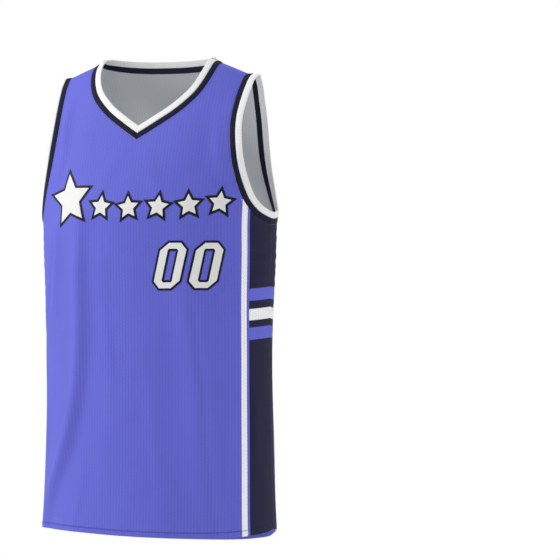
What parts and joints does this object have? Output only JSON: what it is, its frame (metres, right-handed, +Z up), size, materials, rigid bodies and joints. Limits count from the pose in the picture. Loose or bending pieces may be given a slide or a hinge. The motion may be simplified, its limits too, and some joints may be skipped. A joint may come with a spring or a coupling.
{
  "type": "basketball jersey",
  "caption": "Sleeveless V-neck jersey filled out as when worn, with navy and white rib bands round the neck and armholes, a straight body and an empty hollow inside.",
  "frame": {"origin": "middle of the shoulder line, level with the points where the neck opening meets the shoulders", "axes": "+X to the wearer's left, -Y to the front, +Z up"},
  "size_m": [0.402, 0.2269, 0.7699],
  "materials": {
    "periwinkle_mesh": "matt knitted polyester mesh with a faint sheen",
    "navy_rib": "matt knitted rib",
    "white_rib": "matt knitted rib"
  },
  "bodies": {
    "root": {"front_panel": "periwinkle_mesh", "back_panel": "periwinkle_mesh", "neck_band_navy": "navy_rib", "neck_band_white": "white_rib", "left_armhole_navy": "navy_rib", "left_armhole_white": "white_rib", "right_armhole_navy": "navy_rib", "right_armhole_white": "white_rib"}
  },
  "joints": []
}
